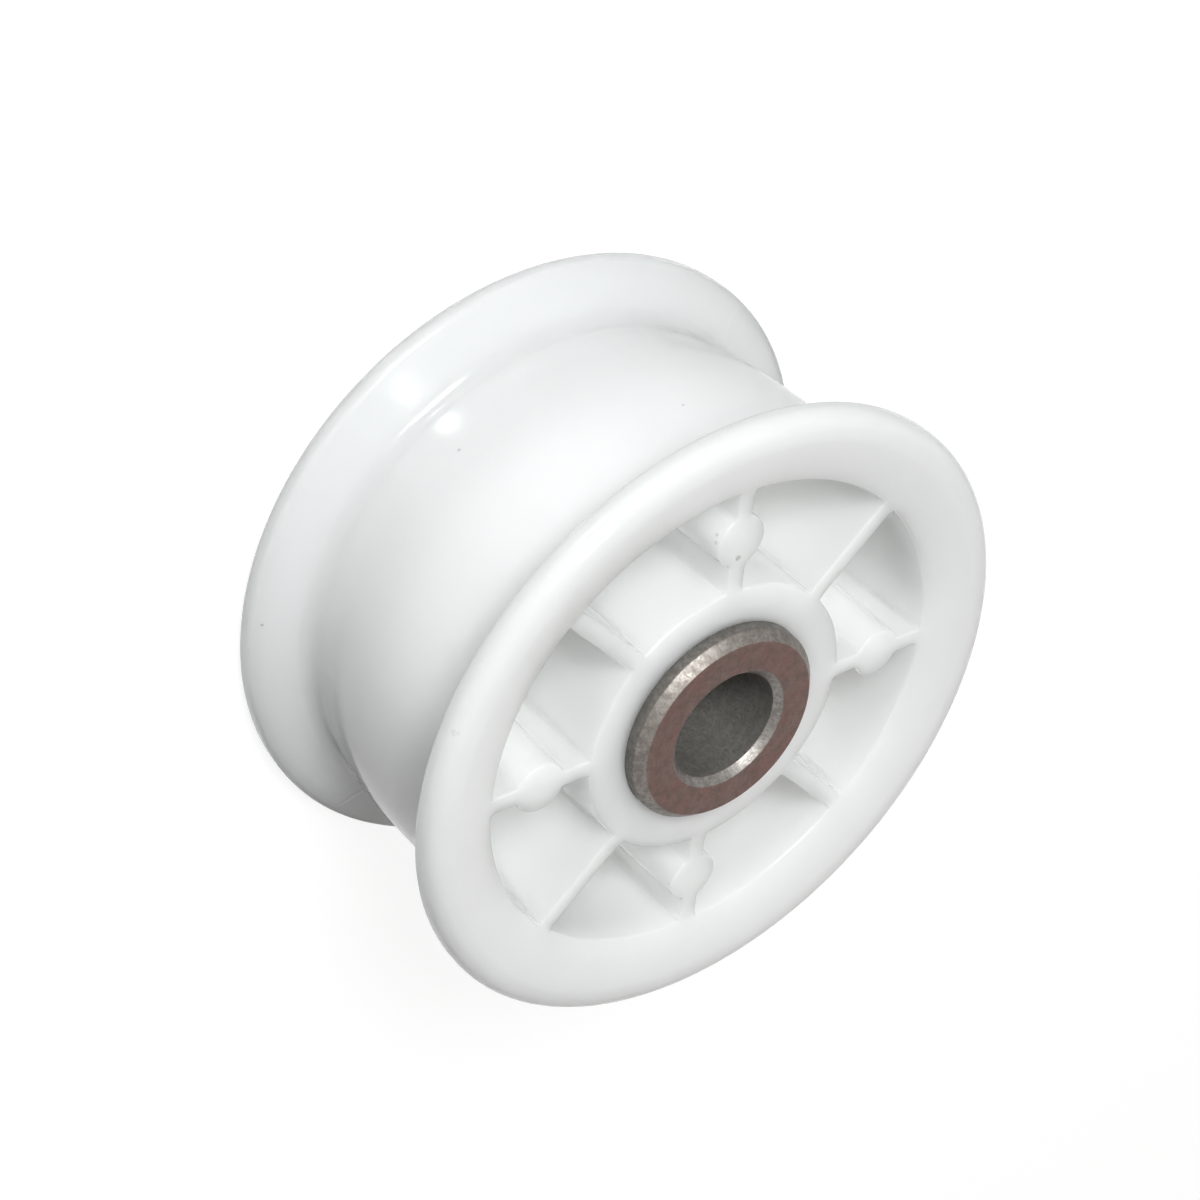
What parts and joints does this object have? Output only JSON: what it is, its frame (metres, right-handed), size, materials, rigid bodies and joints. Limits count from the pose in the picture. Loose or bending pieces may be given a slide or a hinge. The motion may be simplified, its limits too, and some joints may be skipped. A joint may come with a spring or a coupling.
{
  "type": "belt idler pulley",
  "caption": "Spool-shaped belt idler pulley with a crowned track between flanges, a ribbed open hub and a pressed-in plain bush that turns on a fixed shaft.",
  "frame": {"origin": "on the bore axis, half way along the bush and at the middle of the belt track", "axes": "+Z along the bore axis, out of the face with the ejector bosses; +X through one boss"},
  "size_m": [0.055, 0.055, 0.0286],
  "materials": {
    "white_plastic": "moulded, semi-gloss",
    "sintered_bronze": "sintered, oil-filled, burnished bevels"
  },
  "bodies": {
    "root": {"pulley_wheel": "white_plastic", "bearing_bush": "sintered_bronze"}
  },
  "joints": []
}
